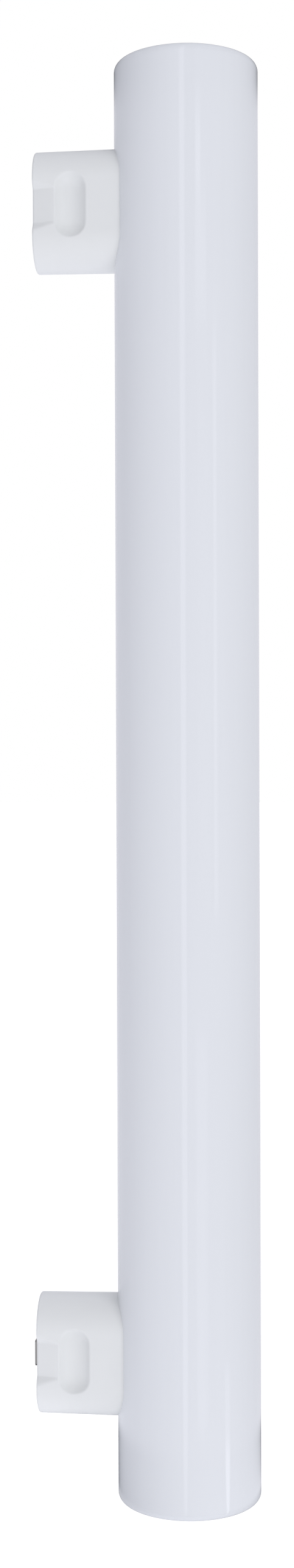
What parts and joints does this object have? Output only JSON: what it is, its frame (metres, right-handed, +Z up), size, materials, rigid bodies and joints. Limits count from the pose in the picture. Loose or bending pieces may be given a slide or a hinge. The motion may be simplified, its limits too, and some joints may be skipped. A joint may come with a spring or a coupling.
{
  "type": "tubular light bulb",
  "caption": "Straight opal tube lamp with closed flat ends and push-in bases on one side, each with detent pockets, lead-in ramps and an end contact.",
  "frame": {"origin": "centre of the tube's flat lower end", "axes": "+Z up the tube's axis, -X the way the bases point, Y across the bases' broad sides"},
  "size_m": [0.0476, 0.03, 0.3],
  "materials": {
    "opal_glass": "gloss opal white, not see-through",
    "white_plastic": "satin moulded white",
    "nickel": "nickel-plated, dull"
  },
  "bodies": {
    "root": {"opal_tube": "opal_glass", "upper_base": "white_plastic", "lower_base": "white_plastic", "upper_contact": "nickel", "lower_contact": "nickel"}
  },
  "joints": []
}
